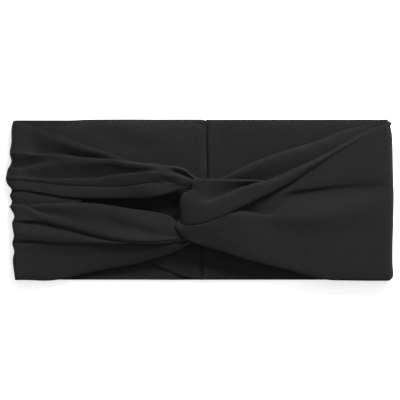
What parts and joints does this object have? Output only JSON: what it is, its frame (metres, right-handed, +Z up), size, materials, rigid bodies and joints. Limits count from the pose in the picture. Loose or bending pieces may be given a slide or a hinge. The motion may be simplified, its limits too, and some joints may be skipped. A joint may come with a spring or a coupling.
{
  "type": "turban headband",
  "caption": "Wide stretch-jersey sports headband with a gathered turban twist at the front, lying flat and sewn shut at the centre back.",
  "frame": {"origin": "centre of the band's outline, on the surface that the band lies on", "axes": "+X along the band towards the right-hand side fold, +Y across the band towards its forehead edge, +Z up out of the surface, from the back of the band towards the twist"},
  "size_m": [0.24, 0.099, 0.019],
  "materials": {
    "left_loop_jersey": "fine matt knit",
    "right_loop_jersey": "fine matt knit",
    "sewing_thread": "fine spun thread"
  },
  "bodies": {
    "root": {"left_loop_upper_arm": "left_loop_jersey", "left_loop_lower_arm": "left_loop_jersey", "left_loop_bend": "left_loop_jersey", "left_loop_side_fold_outer": "left_loop_jersey", "left_loop_side_fold_inner": "left_loop_jersey", "left_loop_back_outer": "left_loop_jersey", "left_loop_back_inner": "left_loop_jersey", "left_loop_closing_seam": "sewing_thread", "right_loop_front_arm": "right_loop_jersey", "right_loop_back_arm": "right_loop_jersey", "right_loop_bend": "right_loop_jersey", "right_loop_side_fold_outer": "right_loop_jersey", "right_loop_side_fold_inner": "right_loop_jersey", "right_loop_back_outer": "right_loop_jersey", "right_loop_back_inner": "right_loop_jersey", "right_loop_closing_seam": "sewing_thread", "centre_back_seam_allowance": "left_loop_jersey", "centre_back_seam_thread": "sewing_thread"}
  },
  "joints": []
}
